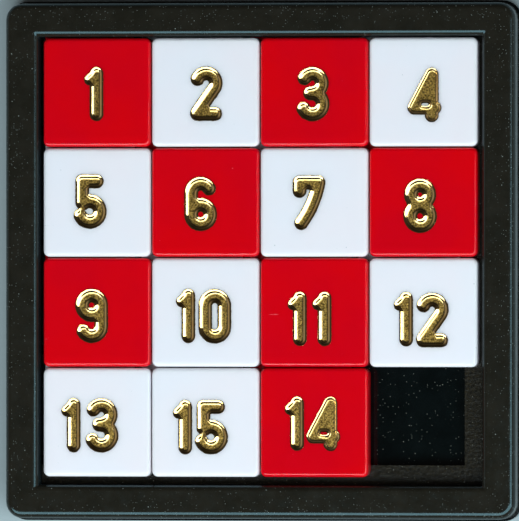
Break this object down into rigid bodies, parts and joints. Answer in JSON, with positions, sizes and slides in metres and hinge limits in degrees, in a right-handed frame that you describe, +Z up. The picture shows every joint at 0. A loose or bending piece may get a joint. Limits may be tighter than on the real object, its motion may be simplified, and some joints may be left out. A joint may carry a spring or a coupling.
{
  "type": "sliding tile puzzle",
  "caption": "Pocket sliding tile puzzle: interlocking red and white tiles with gold numerals in a shallow square black tray, with one cell empty.",
  "frame": {"origin": "centre of the underside of the base", "axes": "+Z up out of the tile faces, +X along a row of numbers from left to right, +Y from the last row to the first"},
  "size_m": [0.0656, 0.0656, 0.0065],
  "materials": {
    "black_plastic": "moulded black polystyrene, glossy with fine dust and scuffs",
    "red_plastic": "moulded red polystyrene, glossy",
    "white_plastic": "moulded cool white polystyrene, glossy",
    "gold_foil": "hot-stamped gold foil, bright on the slopes and grainy on the floor"
  },
  "bodies": {
    "tray": {"base_tray": "black_plastic", "frame": "black_plastic"},
    "tile_01": {"tile_01": "red_plastic", "foil_01": "gold_foil"},
    "tile_02": {"tile_02": "white_plastic", "foil_02": "gold_foil"},
    "tile_03": {"tile_03": "red_plastic", "foil_03": "gold_foil"},
    "tile_04": {"tile_04": "white_plastic", "foil_04": "gold_foil"},
    "tile_05": {"tile_05": "white_plastic", "foil_05": "gold_foil"},
    "tile_06": {"tile_06": "red_plastic", "foil_06": "gold_foil"},
    "tile_07": {"tile_07": "white_plastic", "foil_07": "gold_foil"},
    "tile_08": {"tile_08": "red_plastic", "foil_08": "gold_foil"},
    "tile_09": {"tile_09": "red_plastic", "foil_09": "gold_foil"},
    "tile_10": {"tile_10": "white_plastic", "foil_10_tens": "gold_foil", "foil_10_units": "gold_foil"},
    "tile_11": {"tile_11": "red_plastic", "foil_11_tens": "gold_foil", "foil_11_units": "gold_foil"},
    "tile_12": {"tile_12": "white_plastic", "foil_12_tens": "gold_foil", "foil_12_units": "gold_foil"},
    "tile_13": {"tile_13": "white_plastic", "foil_13_tens": "gold_foil", "foil_13_units": "gold_foil"},
    "tile_14": {"tile_14": "red_plastic", "foil_14_tens": "gold_foil", "foil_14_units": "gold_foil"},
    "tile_15": {"tile_15": "white_plastic", "foil_15_tens": "gold_foil", "foil_15_units": "gold_foil"}
  },
  "joints": [
    {"name": "tile_13_slide", "type": "slide", "parent": "tray", "child": "tile_13", "axis": [1, 0, 0], "range_m": [0, 0.0144]},
    {"name": "tile_15_slide", "type": "slide", "parent": "tray", "child": "tile_15", "axis": [1, 0, 0], "range_m": [0, 0.0144]},
    {"name": "tile_14_slide", "type": "slide", "parent": "tray", "child": "tile_14", "axis": [1, 0, 0], "range_m": [0, 0.0144]},
    {"name": "tile_04_slide", "type": "slide", "parent": "tray", "child": "tile_04", "axis": [0, 1, 0], "range_m": [-0.0148, 0]},
    {"name": "tile_08_slide", "type": "slide", "parent": "tray", "child": "tile_08", "axis": [0, 1, 0], "range_m": [-0.0148, 0]},
    {"name": "tile_12_slide", "type": "slide", "parent": "tray", "child": "tile_12", "axis": [0, 1, 0], "range_m": [-0.0148, 0]},
    {"name": "tile_03_slide", "type": "slide", "parent": "tray", "child": "tile_03", "axis": [1, 0, 0], "range_m": [-0.00055, 0]},
    {"name": "tile_02_slide", "type": "slide", "parent": "tray", "child": "tile_02", "axis": [1, 0, 0], "range_m": [-0.00055, 0]},
    {"name": "tile_01_slide", "type": "slide", "parent": "tray", "child": "tile_01", "axis": [1, 0, 0], "range_m": [-0.00055, 0]},
    {"name": "tile_07_slide", "type": "slide", "parent": "tray", "child": "tile_07", "axis": [1, 0, 0], "range_m": [-0.00055, 0]},
    {"name": "tile_06_slide", "type": "slide", "parent": "tray", "child": "tile_06", "axis": [1, 0, 0], "range_m": [-0.00055, 0]},
    {"name": "tile_05_slide", "type": "slide", "parent": "tray", "child": "tile_05", "axis": [1, 0, 0], "range_m": [-0.00055, 0]},
    {"name": "tile_11_slide", "type": "slide", "parent": "tray", "child": "tile_11", "axis": [1, 0, 0], "range_m": [-0.00055, 0]},
    {"name": "tile_10_slide", "type": "slide", "parent": "tray", "child": "tile_10", "axis": [1, 0, 0], "range_m": [-0.00055, 0]},
    {"name": "tile_09_slide", "type": "slide", "parent": "tray", "child": "tile_09", "axis": [1, 0, 0], "range_m": [-0.00055, 0]}
  ],
  "couplings": [
    {"joint": "tile_15_slide", "follows": "tile_13_slide", "ratio": 1},
    {"joint": "tile_14_slide", "follows": "tile_13_slide", "ratio": 1},
    {"joint": "tile_08_slide", "follows": "tile_04_slide", "ratio": 1},
    {"joint": "tile_12_slide", "follows": "tile_04_slide", "ratio": 1},
    {"joint": "tile_02_slide", "follows": "tile_03_slide", "ratio": 1},
    {"joint": "tile_01_slide", "follows": "tile_03_slide", "ratio": 1},
    {"joint": "tile_06_slide", "follows": "tile_07_slide", "ratio": 1},
    {"joint": "tile_05_slide", "follows": "tile_07_slide", "ratio": 1},
    {"joint": "tile_10_slide", "follows": "tile_11_slide", "ratio": 1},
    {"joint": "tile_09_slide", "follows": "tile_11_slide", "ratio": 1}
  ]
}
